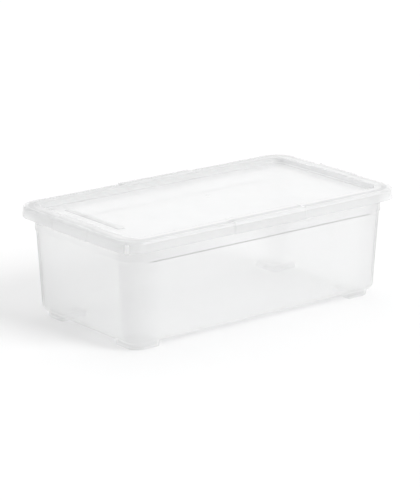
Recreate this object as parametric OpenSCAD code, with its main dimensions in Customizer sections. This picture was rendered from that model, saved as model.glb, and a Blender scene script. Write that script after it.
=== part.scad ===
// Shoe box: a clear tub moulded in one piece and a clear press-on lid moulded in one piece.
// Origin at the centre of the footprint on the ground, +Z up, +X along the long side, millimetres.

/* [Lid] */
// Length of the lid over the skirt, without the grips
lid_l = 338; // [300:2:380]
// Width of the lid over the skirt, without the grips
lid_w = 188; // [160:2:220]
// Plan corner radius of the lid skirt
lid_corner_r = 22; // [18:1:26]
// Height of the lid skirt
skirt_h = 11; // [10:0.5:13]
// Wall thickness of the lid
lid_t = 1.5; // [1.2:0.1:1.8]
// Width of the raised rim round the lid
rim_w = 16; // [15:0.5:18]
// Depth of the flat panel below the top of the rim
panel_drop = 5.5; // [4.5:0.5:6.5]
// Length of the grip on each long side
grip_long = 88; // [60:2:110]
// Length of the grip on each short side
grip_short = 56; // [40:2:80]
// How far each grip stands out from the skirt
grip_out = 1.0; // [0.6:0.1:1.2]
// How far each grip stands above the rim
grip_up = 0.8; // [0.5:0.1:1.0]
// Length of the plain raised bar near one end of the panel
bar_len = 88; // [60:2:100]
// How far the bar's centre sits from the long centre line of the lid
bar_off = 14; // [0:2:18]

/* [Tub] */
// Height from the ground to the top of the rim with the lid on
closed_h = 112; // [100:1:150]
// Wall thickness of the tub
tub_t = 1.5; // [1.2:0.1:1.8]
// Inward lean of the walls in degrees
draft = 3.6; // [3:0.2:4]
// Height of the upright collar below the lid skirt
collar_h = 13; // [10:0.5:16]
// Depth of the step at the lower edge of the collar
collar_step = 1.1; // [0.8:0.1:1.4]
// Radius of the rounded bottom edge
base_r = 8; // [6:0.5:9]
// Height of the four corner feet
foot_h = 5.5; // [4.5:0.5:6.5]
// Size of each corner foot along each side
foot_w = 30; // [26:1:34]

/* [Fit] */
// Gap between the lid and the tub
gap = 0.4; // [0.3:0.05:0.6]

/* [Hidden] */
$fn = 64;
e = 0.01;
clear_tub = [0.88, 0.89, 0.90, 0.55];
clear_lid = [0.92, 0.93, 0.94, 0.65];
top_z = closed_h;                     // top of the rim
skirt_z = closed_h - skirt_h;         // lower edge of the skirt
panel_z = closed_h - panel_drop;      // top of the flat panel
flange_z = closed_h - lid_t - gap;    // top of the tub flange
collar_i = 8;                         // collar face, inward from the skirt face
collar_z = skirt_z - collar_h;        // lower edge of the collar
wall_i = collar_i + collar_step;      // wall face just below the collar
tub_rc = 32;                          // corner centre of the tub walls, inward from the skirt face
ta = tan(draft);
// centre of the bottom rounding
arc_z = foot_h + base_r;
arc_i = wall_i + (collar_z - arc_z) * ta + base_r / cos(draft);
base_i = arc_i;                       // where the flat underside starts
in_r = base_r - tub_t;
foot_i = arc_i - 1.6;                 // outer face of the feet

// Rounded block: a closed outline in (inset, height) swept round a rounded rectangle.
// cc is the inset of the corner centres; the outline must reach inward to cc between z0 and z1.
module swept(cc, z0, z1) {
    hx = lid_l / 2 - cc;
    hy = lid_w / 2 - cc;
    for (sx = [-1, 1]) for (sy = [-1, 1])
        translate([sx * hx, sy * hy, 0])
            rotate([0, 0, sx > 0 ? (sy > 0 ? 0 : 270) : (sy > 0 ? 90 : 180)])
                rotate_extrude(angle = 90) children();
    for (s = [0, 180]) rotate([0, 0, s]) {
        translate([-hx, hy, 0]) rotate([90, 0, 90]) linear_extrude(height = 2 * hx) children();
        translate([hx, hy, 0]) rotate([90, 0, 0]) linear_extrude(height = 2 * hy) children();
    }
    translate([-hx, -hy, z0]) cube([2 * hx, 2 * hy, z1 - z0]);
}

// points of an arc in (inset, height), written from the corner centre outward
function arc(cc, i, z, r, a0, a1, n = 6) =
    [for (k = [0 : n]) let (a = a0 + (a1 - a0) * k / n) [cc - i + r * cos(a), z + r * sin(a)]];

// ---- tub ----
module tub_outer() {
    swept(tub_rc, foot_h, flange_z)
        polygon(concat(
            [[0, flange_z], [0, foot_h]],
            arc(tub_rc, arc_i, arc_z, base_r, 270, 360 - draft, 8),
            [[tub_rc - wall_i, collar_z - 0.5],
             [tub_rc - collar_i, collar_z + 0.4],
             [tub_rc - collar_i, flange_z]]));
}

module tub_inner() {
    swept(tub_rc, foot_h + tub_t, flange_z + 1)
        polygon(concat(
            [[0, flange_z + 1], [0, foot_h + tub_t]],
            arc(tub_rc, arc_i, arc_z, in_r, 270, 360 - draft, 8),
            [[tub_rc - wall_i - tub_t, collar_z - 0.5],
             [tub_rc - collar_i - tub_t, collar_z + 0.4],
             [tub_rc - collar_i - tub_t, flange_z - 0.8],
             [tub_rc - collar_i - tub_t + 0.8, flange_z],
             [tub_rc - collar_i - tub_t + 0.8, flange_z + 1]]));
}

module rounded(i, r, z0, z1) {
    hx = lid_l / 2 - i;
    hy = lid_w / 2 - i;
    translate([0, 0, z0]) linear_extrude(height = z1 - z0) {
        square([2 * hx - 2 * r, 2 * hy], center = true);
        square([2 * hx, 2 * hy - 2 * r], center = true);
        for (sx = [-1, 1]) for (sy = [-1, 1])
            translate([sx * (hx - r), sy * (hy - r)]) circle(r = r);
    }
}

lid_cc = lid_corner_r;                // corner centre of the lid, inward from the skirt face
lip_i = lid_t + gap + 0.4;            // outer edge of the flange lip
lip_r = lid_corner_r - lip_i;

module flange() {
    difference() {
        swept(lid_cc, flange_z - 6, flange_z)
            polygon([[0, flange_z], [0, flange_z - 6], [lip_r - 0.3, flange_z - 6], [lip_r, flange_z - 5.6],
                     [lip_r, flange_z - 2.6], [lip_r - 0.7, flange_z - 1], [lip_r - 2, flange_z]]);
        rounded(lip_i + tub_t, lip_r - tub_t, flange_z - 7, flange_z - tub_t);
        rounded(collar_i + tub_t - 0.8, tub_rc - collar_i - tub_t + 0.8, flange_z - 7, flange_z + 1);
    }
}

module corner_feet(i, w, z0, z1, r) {
    intersection() {
        rounded(i, r, z0, z1);
        for (sx = [-1, 1]) for (sy = [-1, 1])
            translate([sx * (lid_l / 2 - foot_i - w / 2), sy * (lid_w / 2 - foot_i - w / 2), (z0 + z1) / 2])
                cube([w, w, z1 - z0 + 2], center = true);
    }
}

module tub() color(clear_tub) difference() {
    union() {
        tub_outer();
        flange();
        corner_feet(foot_i, foot_w, 0, arc_z - base_r / 2, 13);
    }
    tub_inner();
    corner_feet(foot_i + tub_t, foot_w - tub_t, tub_t, arc_z, 13 - tub_t);
}

// ---- lid ----
module lid_outer() {
    swept(lid_cc, skirt_z, top_z)
        polygon(concat(
            [[0, top_z], [0, skirt_z], [lid_cc, skirt_z]],
            arc(lid_cc, 3.2, top_z - 3, 3, 0, 90, 6)));
}

module rim_grip(len, half, i) {
    // rounded pad saddled over the rim on one side; half is the distance to the skirt face
    w = rim_w + grip_out + 0.6;
    translate([-len / 2, half + grip_out, 0]) rotate([90, 0, 90])
        linear_extrude(height = len)
            polygon([[-w, top_z - 1.5], [-w, top_z + grip_up - 1], [-w + 1, top_z + grip_up],
                     [-3.4, top_z + grip_up], [-1.9, top_z + grip_up - 0.4], [-0.8, top_z + grip_up - 1.3],
                     [-0.2, top_z + grip_up - 2.6], [0, top_z + grip_up - 4], [0, skirt_z],
                     [-grip_out - 1, skirt_z], [-grip_out - 1, top_z - 3], [-grip_out - 4, top_z - 1.2]]);
}

module grips() {
    for (s = [0, 180]) rotate([0, 0, s]) {
        rim_grip(grip_long, lid_w / 2);
        rotate([0, 0, 90]) rim_grip(grip_short, lid_l / 2);
    }
}

rim_r = 12;                            // plan corner radius inside the rim
module recess() {
    // the flat panel sits at the bottom of this shallow tray; its sides lean outward
    hx = lid_l / 2 - rim_w;
    hy = lid_w / 2 - rim_w;
    rc = rim_w + rim_r;
    swept(rc, panel_z, top_z + 3)
        polygon([[0, top_z + 3], [0, panel_z], [rim_r - 1.6, panel_z], [rim_r - 1.1, panel_z + 0.5],
                 [rim_r - 0.6, top_z - 0.8], [rim_r, top_z], [rim_r, top_z + 3]]);
}

module rim_hollow() {
    // channel under the rim that takes the tub flange
    difference() {
        swept(lid_cc, skirt_z - 1, top_z - lid_t)
            polygon([[0, top_z - lid_t], [0, skirt_z - 1], [lid_cc - lid_t, skirt_z - 1],
                     [lid_cc - lid_t, top_z - 3.6], [lid_cc - lid_t - 0.9, top_z - 2.2],
                     [lid_cc - lid_t - 2.2, top_z - lid_t]]);
        rounded(rim_w - 0.6, rim_r + 0.6, skirt_z - 2, top_z + 1);
    }
}

module panel_hollow() {
    rounded(rim_w + 3.2, rim_r - 3.2, skirt_z - 1, panel_z - lid_t);
}

module lid() color(clear_lid) difference() {
    union() {
        difference() {
            union() {
                lid_outer();
                grips();
            }
            recess();
        }
        // plain raised bar near one end and the small moulding mark near the middle
        translate([-lid_l / 2 + 35, bar_off - bar_len / 2, panel_z - 0.5]) cube([8, bar_len, 1.3]);
        translate([10, bar_off + 2, panel_z - 0.5]) cylinder(d = 5, h = 0.9);
    }
    rim_hollow();
    panel_hollow();
    // trims the inner leg of the rim level with the underside of the panel
    difference() {
        rounded(rim_w - 2, rim_r + 2, skirt_z - 1, panel_z - lid_t);
        rounded(rim_w + 3, rim_r - 3, skirt_z - 2, panel_z);
    }
}

tub();
lid();
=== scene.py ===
"""Looks for the shoe box: a clear tub and a clear press-on lid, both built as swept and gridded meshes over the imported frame."""
import math

import bpy
from mathutils import Matrix, Vector


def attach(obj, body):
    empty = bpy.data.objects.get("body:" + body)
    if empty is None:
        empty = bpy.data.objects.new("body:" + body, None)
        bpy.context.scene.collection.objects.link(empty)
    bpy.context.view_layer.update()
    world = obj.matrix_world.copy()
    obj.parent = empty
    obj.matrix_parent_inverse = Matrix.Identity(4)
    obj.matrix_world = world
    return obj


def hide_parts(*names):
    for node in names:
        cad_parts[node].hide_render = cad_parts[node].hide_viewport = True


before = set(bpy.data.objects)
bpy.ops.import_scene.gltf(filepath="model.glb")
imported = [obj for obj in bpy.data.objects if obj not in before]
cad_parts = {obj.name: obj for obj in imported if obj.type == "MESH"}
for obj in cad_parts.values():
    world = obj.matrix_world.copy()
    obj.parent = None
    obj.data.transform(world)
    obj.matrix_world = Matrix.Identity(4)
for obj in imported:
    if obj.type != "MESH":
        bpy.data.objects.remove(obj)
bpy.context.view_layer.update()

MM = 0.001
LX, LY = 169.0, 94.0          # half sizes of the lid skirt, mm
TOP = 112.0                   # top of the rim
PANEL = 106.5                 # top of the recessed panel
SKIRT = 101.0                 # lower edge of the skirt
FLANGE = 110.1                # top of the tub flange
FLOOR = 5.5                   # underside of the tub between the feet
DRAFT = math.radians(3.6)
M = 8                         # grid lines in a corner block; an arc has 2 * M segments


def smooth(t):
    t = min(1.0, max(0.0, t))
    return t * t * (3 - 2 * t)


def both(values):
    """The values and their negatives, sorted, once each."""
    return sorted({round(s * v, 4) for v in values for s in (-1, 1)})


def spread(a, b, step):
    n = max(1, round((b - a) / step))
    return [a + (b - a) * k / n for k in range(n + 1)]


class Plan:
    """Sample lines of a rounded rectangle. A ring and a grid made with it share their outline's vertices."""

    def __init__(self, xs, ys, exact_x, exact_y):
        self.xs, self.ys = xs, ys
        self.ex, self.ey = exact_x, exact_y
        self.na, self.nb = len(xs) + 2 * M, len(ys) + 2 * M
        na, nb = self.na, self.nb
        self.loop = (
            [(a, 0) for a in range(na - 1)]
            + [(na - 1, b) for b in range(nb - 1)]
            + [(a, nb - 1) for a in range(na - 1, 0, -1)]
            + [(0, b) for b in range(nb - 1, 0, -1)]
        )

    @staticmethod
    def _place(k, lines, exact, half):
        """(sign, how far into the corner block, straight coordinate)"""
        n = len(lines)
        if k < M:
            return -1, (M - k) / M, None
        if k >= M + n:
            return 1, (k - (M + n - 1)) / M, None
        v = lines[k - M]
        ref = lines[-1]
        if abs(v) > exact:
            v = math.copysign(exact + (abs(v) - exact) * (half - exact) / (ref - exact), v)
        return 0, 0.0, v

    def point(self, a, b, i, r):
        hx, hy = LX - i - r, LY - i - r
        sx, u, x = self._place(a, self.xs, self.ex, hx)
        sy, v, y = self._place(b, self.ys, self.ey, hy)
        if sx and sy:
            rho = max(u, v)
            phi = math.radians(45 * v / u if u >= v else 90 - 45 * u / v)
            return sx * (hx + r * rho * math.cos(phi)), sy * (hy + r * rho * math.sin(phi))
        if sx:
            return sx * (hx + r * u), y
        if sy:
            return x, sy * (hy + r * v)
        return x, y


def build(name, plan, first, rings, last):
    """A closed shell: a grid, rings from its outline to the other grid's outline, and the other grid.
    first and last are (inset, corner radius, height function); a ring is (inset, corner radius, function of x, y, side giving dx, dy, z)."""
    verts, faces = [], []

    def grid(i, r, height, flip):
        base = len(verts)
        for b in range(plan.nb):
            for a in range(plan.na):
                x, y = plan.point(a, b, i, r)
                verts.append((x, y, height(x, y)))
        for b in range(plan.nb - 1):
            for a in range(plan.na - 1):
                q = [base + b * plan.na + a, base + b * plan.na + a + 1,
                     base + (b + 1) * plan.na + a + 1, base + (b + 1) * plan.na + a]
                faces.append(q[::-1] if flip else q)
        return [base + b * plan.na + a for a, b in plan.loop]

    def ring(i, r, place):
        base = len(verts)
        for a, b in plan.loop:
            x, y = plan.point(a, b, i, r)
            inside_x = M <= a < M + len(plan.xs)
            inside_y = M <= b < M + len(plan.ys)
            side = 0
            if inside_x and b in (0, plan.nb - 1):
                side = 1          # long side
            elif inside_y and a in (0, plan.na - 1):
                side = 2          # short side
            verts.append(place(x, y, side))
        return list(range(base, base + len(plan.loop)))

    loops = [grid(*first, False)]
    loops += [ring(*q) for q in rings]
    loops.append(grid(*last, True))
    n = len(plan.loop)
    for p, q in zip(loops, loops[1:]):
        for k in range(n):
            faces.append([p[k], q[k], q[(k + 1) % n], p[(k + 1) % n]])
    mesh = bpy.data.meshes.new(name)
    mesh.from_pydata([(x * MM, y * MM, z * MM) for x, y, z in verts], [], faces)
    mesh.validate()
    for poly in mesh.polygons:
        poly.use_smooth = True
    mesh.update()
    ob = bpy.data.objects.new(name, mesh)
    bpy.context.scene.collection.objects.link(ob)
    w = ob.modifiers.new("weighted", "WEIGHTED_NORMAL")
    w.mode = "FACE_AREA"
    w.weight = 60
    return ob


def arc(ci, cz, r, a0, a1, n):
    """Points of an arc in (inset, height); the angle is measured from the outward direction, up positive."""
    out = []
    for k in range(n + 1):
        a = math.radians(a0 + (a1 - a0) * k / n)
        out.append((ci - r * math.cos(a), cz + r * math.sin(a)))
    return out


# ---------------------------------------------------------------- lid
GRIP_L, GRIP_S = 44.0, 28.0   # half lengths of the grips
BAR_X0, BAR_X1, BAR_Y0, BAR_Y1 = -134.0, -126.0, -30.0, 58.0
MARK_X, MARK_Y = 10.0, 16.0


def lid_radius(i):
    """Plan corner radius at an inset: 22 at the skirt, 12 at the rim's inner edge."""
    if i <= 3:
        return 22 - i
    if i <= 16:
        return 19 - (i - 3) * 7 / 13
    return max(1.5, 12 - (i - 16))


def grip(x, y, side):
    if side == 1:
        return smooth((GRIP_L + 1.2 - abs(x)) / 2.4)
    if side == 2:
        return smooth((GRIP_S + 1.2 - abs(y)) / 2.4)
    return 0.0


def lid_ring(i, z, out=0.0, up=0.0):
    def place(x, y, side):
        g = grip(x, y, side)
        if g and out:
            if side == 1:
                y += math.copysign(out * g, y)
            else:
                x += math.copysign(out * g, x)
        return x, y, z + up * g
    return i, lid_radius(i), place


def panel_top(x, y):
    z = PANEL
    bar = smooth((x - BAR_X0 + 0.2) / 0.8) * smooth((BAR_X1 + 0.2 - x) / 0.8) * smooth((BAR_Y1 + 0.2 - y) / 0.8) * smooth((y - BAR_Y0 + 0.2) / 0.8)
    z += 0.8 * bar
    d = math.hypot(x - MARK_X, y - MARK_Y)
    z += 0.4 * smooth((2.5 - d) / 0.7) - 0.25 * smooth((1.3 - d) / 0.6)
    return z


def make_lid():
    grip_x = [42.4, 42.8, 43.3, 43.7, 44.0, 44.3, 44.7, 45.2, 45.6]
    grip_y = [26.4, 26.8, 27.3, 27.7, 28.0, 28.3, 28.7, 29.2, 29.6]
    mark = [-3.0, -2.5, -2.1, -1.8, -1.4, -1.0, -0.5, 0.0, 0.5, 1.0, 1.4, 1.8, 2.1, 2.5, 3.0]
    bar_x = [125.4, 125.8, 126.2, 127.0, 130.0, 133.0, 133.8, 134.2, 134.6]
    bar_y = [30.0, 30.4, 33.0, 38.0, 43.0, 48.0, 53.0, 57.2, 57.6, 58.0, 58.4, 58.8]
    xs = both([0.0, 3.5] + [MARK_X + v for v in mark] + spread(18, 38, 5) + grip_x + spread(52, 120, 6.5) + bar_x + [138.0, 143.0, 147.0])
    ys = both([0.0, 4.5, 9.0] + [MARK_Y + v for v in mark] + [22.5] + grip_y + bar_y + [63.0, 67.5, 72.0])
    plan = Plan(xs, ys, 140.8, 60.0)
    rings = []
    # from the panel up the inner wall, over the rim and down the skirt
    for i, z in arc(17.0, 107.4, 0.9, 270, 180, 4):
        rings.append(lid_ring(i + 0.0, z))
    wall = [(16.95, 107.9, 0.0), (16.55, 109.4, 0.3), (16.25, 110.6, 0.8)]
    rings += [lid_ring(i, z, 0.0, 0.8 * u) for i, z, u in wall]
    rings += [lid_ring(i, z, 0.0, 0.8) for i, z in [(16.15, 111.0), (15.95, 111.5), (15.55, 111.85), (15.0, 112.0)]]
    rings += [lid_ring(i, z, o, 0.8) for i, z, o in [(14.2, 112.0, 0.0), (11.0, 112.0, 0.1), (8.0, 112.0, 0.3), (5.5, 112.0, 0.6), (3.9, 112.0, 0.8)]]
    rings += [lid_ring(i, z, 1.0, 0.8 * smooth((z - 106.5) / 4)) for i, z in arc(3.2, 109.0, 3.0, 90, 0, 7)]
    rings += [lid_ring(i, z, 1.0, 0.0) for i, z in [(0.16, 107.6), (0.1, 105.0), (0.03, 102.6), (0.0, 101.6), (0.03, 101.25), (0.2, 101.04), (0.45, 101.0)]]
    # round the edge and back along the inside
    rings += [lid_ring(i, z, 1.0, 0.0) for i, z in [(1.05, 101.0), (1.32, 101.06), (1.48, 101.3), (1.5, 101.7), (1.52, 104.0), (1.6, 107.8)]]
    rings += [lid_ring(i, z, 1.0, 0.8 * smooth((z - 107) / 3)) for i, z in arc(3.3, 108.8, 1.7, 10, 90, 5)]
    rings += [lid_ring(i, z, o, 0.8) for i, z, o in [(5.5, 110.5, 0.6), (9.0, 110.5, 0.2), (12.5, 110.5, 0.0), (13.8, 110.5, 0.0)]]
    rings += [lid_ring(i, z, 0.0, 0.8) for i, z in [(14.3, 110.42), (14.65, 110.15), (14.8, 109.7)]]
    rings += [lid_ring(i, z, 0.0, 0.8 * u) for i, z, u in [(15.1, 108.6, 0.4), (15.45, 107.2, 0.0)]]
    rings += [lid_ring(i, z) for i, z in [(15.6, 106.4), (15.85, 105.7), (16.35, 105.2), (17.0, 105.0), (17.6, 105.0)]]
    return build("lid_shell", plan, (18.4, 9.6, panel_top), rings, (18.4, 9.6, lambda x, y: 105.0))


# ---------------------------------------------------------------- tub
RC = 32.0                      # inset of the tub's corner centres
TA = math.tan(DRAFT)
COLLAR_Z, WALL_I = 88.0, 9.1
ARC_Z = FLOOR + 8
ARC_I = WALL_I + (COLLAR_Z - ARC_Z) * TA + 8 / math.cos(DRAFT)
FOOT_X, FOOT_Y = 118.8, 43.8   # where the feet start along each side


def foot(x, y, depth, shift):
    """How far a point of the floor is inside a foot, 0 to 1. depth is the share allowed at this inset."""
    fx = smooth((abs(x) - FOOT_X - shift) / 0.8)
    fy = smooth((abs(y) - FOOT_Y - shift) / 0.8)
    return depth * fx * fy


def tub_ring(i, z, r=None, depth=0.0, shift=0.0, ground=0.0):
    def place(x, y, side):
        f = foot(x, y, depth, shift) if depth else 0.0
        return x, y, z * (1 - f) + ground * f
    return i, (RC - i if r is None else r), place


def make_tub():
    fx = [118.4, 118.8, 119.0, 119.2, 119.4, 119.6, 120.0, 120.3, 120.5, 120.7, 120.9, 121.1, 121.6]
    fy = [43.4, 43.8, 44.0, 44.2, 44.4, 44.6, 45.0, 45.3, 45.5, 45.7, 45.9, 46.1, 46.6]
    xs = both(spread(0, 112, 7) + [116.0] + fx + [124.0, 128.0, 132.5, 137.0])
    ys = both(spread(0, 36, 6) + [41.0] + fy + [49.0, 53.0, 57.5, 62.0])
    plan = Plan(xs, ys, 137.0, 62.0)
    rings = []
    # inside: floor, inner rounding, wall, collar, flange top
    for i, f in [(22.9, 1.0), (22.5, 1.0), (22.2, 0.93), (22.0, 0.5), (21.85, 0.1)]:
        rings.append(tub_ring(i, FLOOR + 1.5, depth=f, shift=1.5, ground=1.5))
    for i, z in arc(ARC_I, ARC_Z, 6.5, 270, 360 - 3.6, 8):
        rings.append(tub_ring(i, z))
    z0 = rings[-1][2](0, 0, 0)[2]
    i0 = rings[-1][0]
    z1, i1 = COLLAR_Z - 0.9, WALL_I + 1.5 + 0.9 * TA
    for k in range(1, 7):
        t = k / 6
        rings.append(tub_ring(i0 + (i1 - i0) * t, z0 + (z1 - z0) * t))
    inner = [(10.5, 87.45), (10.25, 87.8), (9.8, 88.2), (9.55, 88.6), (9.5, 89.2), (9.5, 95.0), (9.5, 102.0), (9.5, 107.6),
             (9.47, 108.6), (9.3, 109.3), (8.95, 109.85), (8.4, 110.1)]
    rings += [tub_ring(i, z) for i, z in inner]
    flange = [(7.6, 110.1, 24.0), (6.4, 110.1, 21.5), (5.2, 110.1, 18.2), (4.3, 110.05, 17.7), (3.6, 109.75, 18.4), (2.95, 109.1, 19.05),
              (2.5, 108.3, 19.5), (2.3, 107.4, 19.7), (2.3, 105.5, 19.7), (2.3, 104.6, 19.7), (2.4, 104.25, 19.6), (2.65, 104.1, 19.35),
              (3.3, 104.1, 18.7), (3.6, 104.22, 18.4), (3.75, 104.5, 18.25), (3.8, 105.2, 18.2), (3.8, 107.6, 18.2), (3.95, 108.2, 18.05),
              (4.35, 108.55, 17.8), (4.9, 108.6, 18.5), (5.8, 108.6, 21.5)]
    rings += [tub_ring(i, z, r) for i, z, r in flange]
    collar = [(6.6, 108.6), (7.2, 108.45), (7.7, 108.05), (7.95, 107.5), (8.0, 106.8), (8.0, 101.0), (8.0, 94.0), (8.0, 89.2),
              (8.02, 88.75), (8.2, 88.42), (8.65, 88.1), (8.95, 87.85), (9.08, 87.5)]
    rings += [tub_ring(i, z) for i, z in collar]
    # outside wall down to the outer rounding
    a = arc(ARC_I, ARC_Z, 8.0, 360 - 3.6, 270, 12)
    i2, z2 = WALL_I + 0.9 * TA, COLLAR_Z - 0.9
    for k in range(0, 7):
        t = k / 6
        rings.append(tub_ring(i2 + (a[0][0] - i2) * t, z2 + (a[0][1] - z2) * t))
    for i, z in a[1:]:
        if i < 19.9:
            rings.append(tub_ring(i, z))

    def under(i):
        return ARC_Z - math.sqrt(max(0.0, 64 - (min(i, ARC_I) - ARC_I) ** 2)) if i < ARC_I else FLOOR
    for i, f in [(20.0, 0.0), (20.15, 0.1), (20.25, 0.35), (20.4, 0.8), (20.55, 0.95), (20.8, 1.0), (21.3, 1.0), (21.9, 1.0), (22.6, 1.0)]:
        rings.append(tub_ring(i, under(i), depth=f, shift=0.0, ground=0.0))
    first = (23.2, RC - 23.2, lambda x, y: (FLOOR + 1.5) * (1 - foot(x, y, 1.0, 1.5)) + 1.5 * foot(x, y, 1.0, 1.5))
    last = (23.2, RC - 23.2, lambda x, y: FLOOR * (1 - foot(x, y, 1.0, 0.0)))
    return build("tub_shell", plan, first, rings, last)


# ---------------------------------------------------------------- materials
def node(nt, kind, **sockets):
    n = nt.nodes.new(kind)
    for k, v in sockets.items():
        if k in n.inputs:
            n.inputs[k].default_value = v
        else:
            setattr(n, k, v)
    return n


def clear_plastic(name, tint, tint_edge, edge_from, milk, skin, gloss, zones, rim_gloss=1.0, early=None):
    """Slightly milky clear polypropylene: see-through body with a haze, darker where it is seen edge-on, glossy skin.
    gloss is the range of its roughness. zones(kit) gives (mask, darker, milkier, roughness or None) for parts of the
    surface, most of them painted shade or painted highlights.
    rim_gloss is the gloss seen edge-on; early(kit) gives how much sooner a part darkens towards its edge."""
    mat = bpy.data.materials.new(name)
    mat.use_nodes = True
    nt = mat.node_tree
    nt.nodes.clear()
    L = nt.links.new
    out = nt.nodes.new("ShaderNodeOutputMaterial")
    co = nt.nodes.new("ShaderNodeTexCoord")

    def math_node(op, a, b=None):
        m = node(nt, "ShaderNodeMath", operation=op)
        for k, q in enumerate((a, b)):
            if q is None:
                continue
            if isinstance(q, (int, float)):
                m.inputs[k].default_value = q
            else:
                L(q, m.inputs[k])
        return m.outputs[0]

    def span(value, lo, hi, to_lo=0.0, to_hi=1.0):
        g = node(nt, "ShaderNodeMapRange")
        for key, q in (("From Min", lo), ("From Max", hi), ("To Min", to_lo), ("To Max", to_hi)):
            g.inputs[key].default_value = q
        L(value, g.inputs["Value"])
        return g.outputs["Result"]

    # cloudiness of the haze: a slow drift of the flow with a finer mottle on it
    n1 = node(nt, "ShaderNodeTexNoise", Scale=9.0, Detail=4.0, Roughness=0.55)
    L(co.outputs["Object"], n1.inputs["Vector"])
    haze = span(n1.outputs["Fac"], 0.3, 0.7, milk * 0.95, milk * 1.05)
    # moulded skin: shallow sink waves and a very fine grain
    n2 = node(nt, "ShaderNodeTexNoise", Scale=16.0, Detail=2.0, Roughness=0.4)
    n3 = node(nt, "ShaderNodeTexNoise", Scale=1400.0, Detail=2.0, Roughness=0.5)
    L(co.outputs["Object"], n2.inputs["Vector"])
    L(co.outputs["Object"], n3.inputs["Vector"])
    b1 = node(nt, "ShaderNodeBump", Strength=skin, Distance=0.0006)
    b2 = node(nt, "ShaderNodeBump", Strength=0.04, Distance=0.00005)
    L(n2.outputs["Fac"], b1.inputs["Height"])
    L(n3.outputs["Fac"], b2.inputs["Height"])
    L(b1.outputs["Normal"], b2.inputs["Normal"])
    rough = span(n1.outputs["Fac"], 0.3, 0.7, *gloss)
    # parts of the surface made darker, milkier or matt: mostly painted shade and painted highlights
    sep = nt.nodes.new("ShaderNodeSeparateXYZ")
    L(co.outputs["Object"], sep.inputs[0])
    kit = {"x": sep.outputs["X"], "y": sep.outputs["Y"], "z": sep.outputs["Z"],
           "ax": math_node("ABSOLUTE", sep.outputs["X"]), "ay": math_node("ABSOLUTE", sep.outputs["Y"]),
           "span": lambda v, lo, hi: span(v, lo * MM, hi * MM),
           "both": lambda a, b: math_node("MULTIPLY", a, b),
           "either": lambda a, b: math_node("MAXIMUM", a, b),
           "math": math_node}

    def ring(cx, cy, lo, hi):
        """Mask by distance outside a rounded rectangle's corner centres, mm."""
        dx = math_node("MAXIMUM", math_node("SUBTRACT", kit["ax"], cx * MM), 0.0)
        dy = math_node("MAXIMUM", math_node("SUBTRACT", kit["ay"], cy * MM), 0.0)
        d = math_node("SQRT", math_node("ADD", math_node("MULTIPLY", dx, dx), math_node("MULTIPLY", dy, dy)))
        return span(d, lo * MM, hi * MM)

    kit["ring"] = ring
    keep = None
    for mask, darker, milkier, matt in zones(kit):
        left = math_node("SUBTRACT", 1.0, math_node("MULTIPLY", mask, darker))
        keep = left if keep is None else math_node("MULTIPLY", keep, left)
        if milkier:
            haze = math_node("ADD", haze, math_node("MULTIPLY", mask, milkier))
        if matt is not None:
            rough = math_node("ADD", math_node("MULTIPLY", rough, math_node("SUBTRACT", 1.0, mask)), math_node("MULTIPLY", mask, matt))
    # edge-on darkening
    lw = node(nt, "ShaderNodeLayerWeight", Blend=0.5)
    ramp = nt.nodes.new("ShaderNodeValToRGB")
    ramp.color_ramp.elements[0].position = edge_from
    ramp.color_ramp.elements[0].color = (*tint, 1)
    ramp.color_ramp.elements[1].position = 0.98
    ramp.color_ramp.elements[1].color = (*tint_edge, 1)
    L(math_node("ADD", lw.outputs["Facing"], early(kit)) if early else lw.outputs["Facing"], ramp.inputs["Fac"])
    dim = node(nt, "ShaderNodeVectorMath", operation="SCALE")
    L(ramp.outputs["Color"], dim.inputs[0])
    L(keep, dim.inputs["Scale"])
    clear = nt.nodes.new("ShaderNodeBsdfTransparent")
    L(dim.outputs[0], clear.inputs["Color"])
    body = node(nt, "ShaderNodeBsdfDiffuse")
    body.inputs["Color"].default_value = (0.96, 0.961, 0.962, 1)
    trans = node(nt, "ShaderNodeBsdfTranslucent")
    trans.inputs["Color"].default_value = (0.97, 0.971, 0.972, 1)
    milk_mix = node(nt, "ShaderNodeMixShader")
    milk_mix.inputs[0].default_value = 0.5
    L(body.outputs[0], milk_mix.inputs[1])
    L(trans.outputs[0], milk_mix.inputs[2])
    m1 = nt.nodes.new("ShaderNodeMixShader")
    L(haze, m1.inputs[0])
    L(clear.outputs[0], m1.inputs[1])
    L(milk_mix.outputs[0], m1.inputs[2])
    gl = node(nt, "ShaderNodeBsdfGlossy")
    gl.inputs["Color"].default_value = (1, 1, 1, 1)
    L(rough, gl.inputs["Roughness"])
    L(b2.outputs["Normal"], gl.inputs["Normal"])
    # share of the gloss, the same from both sides of the skin: 0.035 face-on, rising edge-on
    lf = node(nt, "ShaderNodeLayerWeight", Blend=0.5)
    L(b2.outputs["Normal"], lf.inputs["Normal"])
    share = span(math_node("POWER", lf.outputs["Facing"], 5.0), 0.0, 1.0, 0.035, rim_gloss)
    m2 = nt.nodes.new("ShaderNodeMixShader")
    L(share, m2.inputs[0])
    L(m1.outputs[0], m2.inputs[1])
    L(gl.outputs[0], m2.inputs[2])
    L(m2.outputs[0], out.inputs["Surface"])
    return mat


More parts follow.
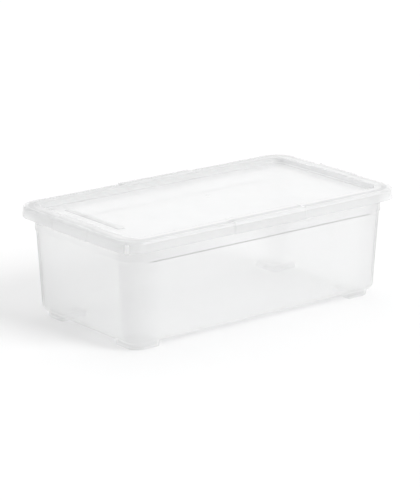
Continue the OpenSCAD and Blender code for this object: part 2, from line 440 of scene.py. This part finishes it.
def lid_zones(k):
    def band(lo, hi):
        return k["both"](k["ring"](141, 66, lo, lo + 0.8), k["ring"](141, 66, hi, hi - 0.8))

    top = k["span"](k["z"], 109.6, 110.4)
    side = k["span"](k["ax"], 150, 140)
    # painted shade: the rim's inner top darker and clearer at the -X end only
    shaded_left_end = k["both"](k["both"](band(12.0, 19.0), top), k["span"](k["x"], -148, -153))
    # painted shade: the rim top darker along the far long side
    far = k["both"](k["both"](band(12.0, 27.0), top), k["span"](k["y"], 72, 76))
    # painted shade: the rim darker and clearer where it lies over the tub's flange
    shade_over_flange = k["both"](band(18.6, 25.0), top)
    # painted highlight: a brighter, milkier line along the rim's outer top edge on the long sides
    edge = k["both"](k["both"](k["ring"](141, 66, 24.6, 25.4), k["span"](k["z"], 109.2, 109.8)), side)
    # the skirt band, a little clearer all round; below, painted shade darkens it on the long sides
    skirt = k["both"](k["ring"](141, 66, 26.4, 27.4), k["span"](k["z"], 109.8, 109.0))
    # painted highlight: a narrow bright streak down the skirt at each corner
    c, s = math.cos(math.radians(36)), math.sin(math.radians(36))
    off = k["math"]("ABSOLUTE", k["math"]("SUBTRACT", k["math"]("MULTIPLY", k["math"]("SUBTRACT", k["ax"], 0.147), s),
                                          k["math"]("MULTIPLY", k["math"]("SUBTRACT", k["ay"], 0.072), c)))
    painted_corner_streak = k["both"](k["both"](k["span"](off, 2.4, 1.5), k["both"](k["span"](k["ax"], 150, 154), k["span"](k["ay"], 74, 78))), skirt)
    bar = k["both"](k["both"](k["span"](k["x"], BAR_X0 - 0.3, BAR_X0 + 0.2), k["span"](k["x"], BAR_X1 + 0.3, BAR_X1 - 0.2)),
                    k["both"](k["both"](k["span"](k["y"], BAR_Y0 - 0.3, BAR_Y0 + 0.2), k["span"](k["y"], BAR_Y1 + 0.3, BAR_Y1 - 0.2)),
                              k["span"](k["z"], PANEL + 0.1, PANEL + 0.4)))
    # painted light: the rim's inner recess wall at both short ends brighter and clearer
    brightened_end_recess = k["both"](k["both"](k["ring"](141, 66, 10.6, 11.0), k["ring"](141, 66, 13.8, 13.2)), k["span"](k["ax"], 146, 152))
    # painted shade: the lid darker towards the -X end
    shade_toward_left = k["span"](k["x"], 120, -150)
    return [(shaded_left_end, 0.05, -0.08, None), (shade_over_flange, 0.15, -0.08, None), (edge, -0.03, 0.22, None), (far, 0.08, 0.0, None), (brightened_end_recess, -0.02, -0.12, None),
            (skirt, -0.01, -0.04, None), (k["both"](skirt, side), 0.05, 0.0, None), (bar, 0.14, -0.25, 0.45), (painted_corner_streak, -0.10, 0.9, None),
            (shade_toward_left, 0.02, 0.0, None)]


def lid_early(k):
    """The inner edge of the rim stays clear."""
    return k["math"]("MULTIPLY", k["both"](k["ring"](141, 66, 10.6, 11.0), k["ring"](141, 66, 13.8, 13.2)), -0.25)


def tub_zones(k):
    # painted shade: both short ends of the tub darker
    shaded_ends = k["span"](k["ax"], 140, 150)
    # painted shade at the tub's four corners
    corner = k["both"](k["span"](k["ax"], 120, 140), k["span"](k["ay"], 60, 68))
    long_side = k["span"](k["ax"], 140, 134)
    # painted shade: a dark line along the wall's step on the long sides
    step = k["both"](k["both"](k["span"](k["z"], 87.3, 87.6), k["span"](k["z"], 88.6, 88.3)), long_side)
    collar = k["both"](k["span"](k["z"], 88.8, 89.4), k["span"](k["z"], 105, 103))
    # painted shade: the tub darker towards the +X end
    shade_toward_right = k["span"](k["x"], 30, 150)
    # painted shade: the short ends darker towards the back
    back = k["both"](shaded_ends, k["span"](k["y"], -10, 70))
    return [(shaded_ends, 0.012, 0.0, None), (corner, 0.028, 0.0, None), (step, 0.35, -0.12, None), (collar, 0.016, 0.0, None),
            (shade_toward_right, 0.009, 0.0, None), (back, 0.010, 0.0, None)]


def tub_early(k):
    """The walls darken sooner towards their outline, the floor and the feet later."""
    wall = k["math"]("MULTIPLY", k["both"](k["span"](k["z"], 11, 16), k["span"](k["z"], 86.6, 86.0)), 0.11)
    feet = k["math"]("MULTIPLY", k["span"](k["z"], 7.6, 7.1), -0.22)
    return k["math"]("ADD", wall, feet)


lid = make_lid()
tub = make_tub()
lid.data.materials.append(clear_plastic("lid_clear", (0.976, 0.977, 0.978), (0.85, 0.853, 0.856), 0.75, 0.42, 0.15, (0.06, 0.14), lid_zones, 1.0, lid_early))
tub.data.materials.append(clear_plastic("tub_clear", (0.992, 0.9925, 0.993), (0.60, 0.603, 0.606), 0.74, 0.20, 0.15, (0.08, 0.18), tub_zones, 0.75, tub_early))
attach(tub, "tub")
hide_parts("tub")
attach(lid, "lid")
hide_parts("lid")

# ---------------------------------------------------------------- floor, light, camera
fm = bpy.data.meshes.new("floor")
S = 6.0
fm.from_pydata([(-S, -S, 0), (S, -S, 0), (S, S, 0), (-S, S, 0)], [], [(0, 1, 2, 3)])
floor = bpy.data.objects.new("floor", fm)
floor.location.z = -0.0002
bpy.context.scene.collection.objects.link(floor)
mat = bpy.data.materials.new("floor_paper")
mat.use_nodes = True
nt = mat.node_tree
p = nt.nodes["Principled BSDF"]
p.inputs["Roughness"].default_value = 0.9
p.inputs["Specular IOR Level"].default_value = 0.1
n = node(nt, "ShaderNodeTexNoise", Scale=3.0, Detail=2.0)
r = nt.nodes.new("ShaderNodeValToRGB")
r.color_ramp.elements[0].color = (0.93, 0.93, 0.93, 1)
r.color_ramp.elements[1].color = (0.95, 0.95, 0.95, 1)
co = nt.nodes.new("ShaderNodeTexCoord")
nt.links.new(co.outputs["Object"], n.inputs["Vector"])
nt.links.new(n.outputs["Fac"], r.inputs["Fac"])
nt.links.new(r.outputs["Color"], p.inputs["Base Color"])
fm.materials.append(mat)

world = bpy.data.worlds.new("studio")
bpy.context.scene.world = world
world.use_nodes = True
wt = world.node_tree
bg = wt.nodes["Background"]
bg.inputs["Color"].default_value = (1, 1, 1, 1)
# a soft studio tent: brightest behind and above, dimmer in front
wc = wt.nodes.new("ShaderNodeTexCoord")
dot = node(wt, "ShaderNodeVectorMath", operation="DOT_PRODUCT")
wt.links.new(wc.outputs["Generated"], dot.inputs[0])
v = Vector((0.35, 0.80, 0.30)).normalized()
dot.inputs[1].default_value = v
tent = node(wt, "ShaderNodeMapRange")
tent.inputs["From Min"].default_value = -1.0
tent.inputs["From Max"].default_value = 1.0
tent.inputs["To Min"].default_value = 0.45
tent.inputs["To Max"].default_value = 1.10
wt.links.new(dot.outputs["Value"], tent.inputs["Value"])
wt.links.new(tent.outputs["Result"], bg.inputs["Strength"])

sun_data = bpy.data.lights.new("softbox", "SUN")
sun_data.energy = 1.40
sun_data.angle = math.radians(32)
sun = bpy.data.objects.new("softbox", sun_data)
sun.rotation_euler = Vector((-0.35, 0.85, -0.65)).to_track_quat("-Z", "Y").to_euler()
bpy.context.scene.collection.objects.link(sun)

scene = bpy.context.scene
cam_data = bpy.data.cameras.new("camera")
cam_data.sensor_fit = "VERTICAL"
cam_data.sensor_height = 36.0
cam_data.lens = 178.0
cam = bpy.data.objects.new("camera", cam_data)
scene.collection.objects.link(cam)
place = Vector((-1.458, -1.839, 0.736))
aim = Vector((0.0, 0.0, 0.056))
q = (aim - place).to_track_quat("-Z", "Y")
cam.matrix_world = Matrix.Translation(place) @ q.to_matrix().to_4x4() @ Matrix.Rotation(math.radians(0.0), 4, "Z")
scene.camera = cam
scene.cycles.max_bounces = 32
scene.cycles.diffuse_bounces = 6
scene.cycles.glossy_bounces = 8
scene.cycles.transmission_bounces = 16
scene.cycles.transparent_max_bounces = 96
scene.view_settings.view_transform = "Standard"
scene.view_settings.look = "None"
